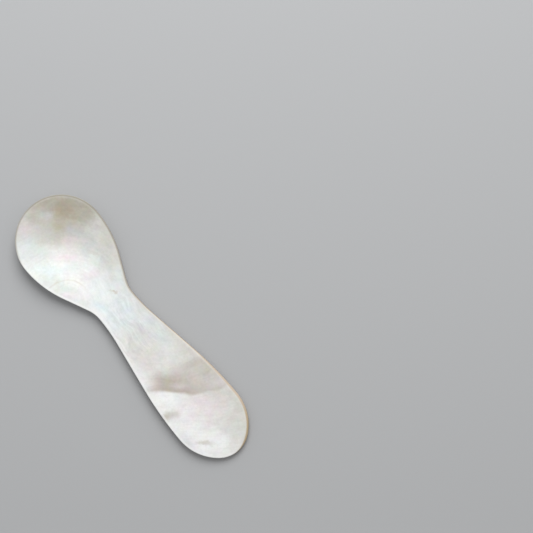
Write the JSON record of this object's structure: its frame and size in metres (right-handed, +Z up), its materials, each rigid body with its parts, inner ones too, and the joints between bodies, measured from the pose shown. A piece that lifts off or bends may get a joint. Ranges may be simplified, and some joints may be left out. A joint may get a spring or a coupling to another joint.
{
  "type": "mother-of-pearl table spoon",
  "caption": "Flat table spoon of mother-of-pearl with a shallow dished bowl, a waisted neck and a broad rounded handle.",
  "frame": {"origin": "on the table under the spoon, at the middle of its length and its width", "axes": "+X along the spoon towards the bowl's tip, +Z up out of the dish, +Y to the left of the spoon"},
  "size_m": [0.12, 0.0344, 0.0052],
  "materials": {
    "nacre": "polished mother-of-pearl, greyish white with soft pink, green and tan clouds"
  },
  "bodies": {
    "root": {"spoon": "nacre"}
  },
  "joints": []
}
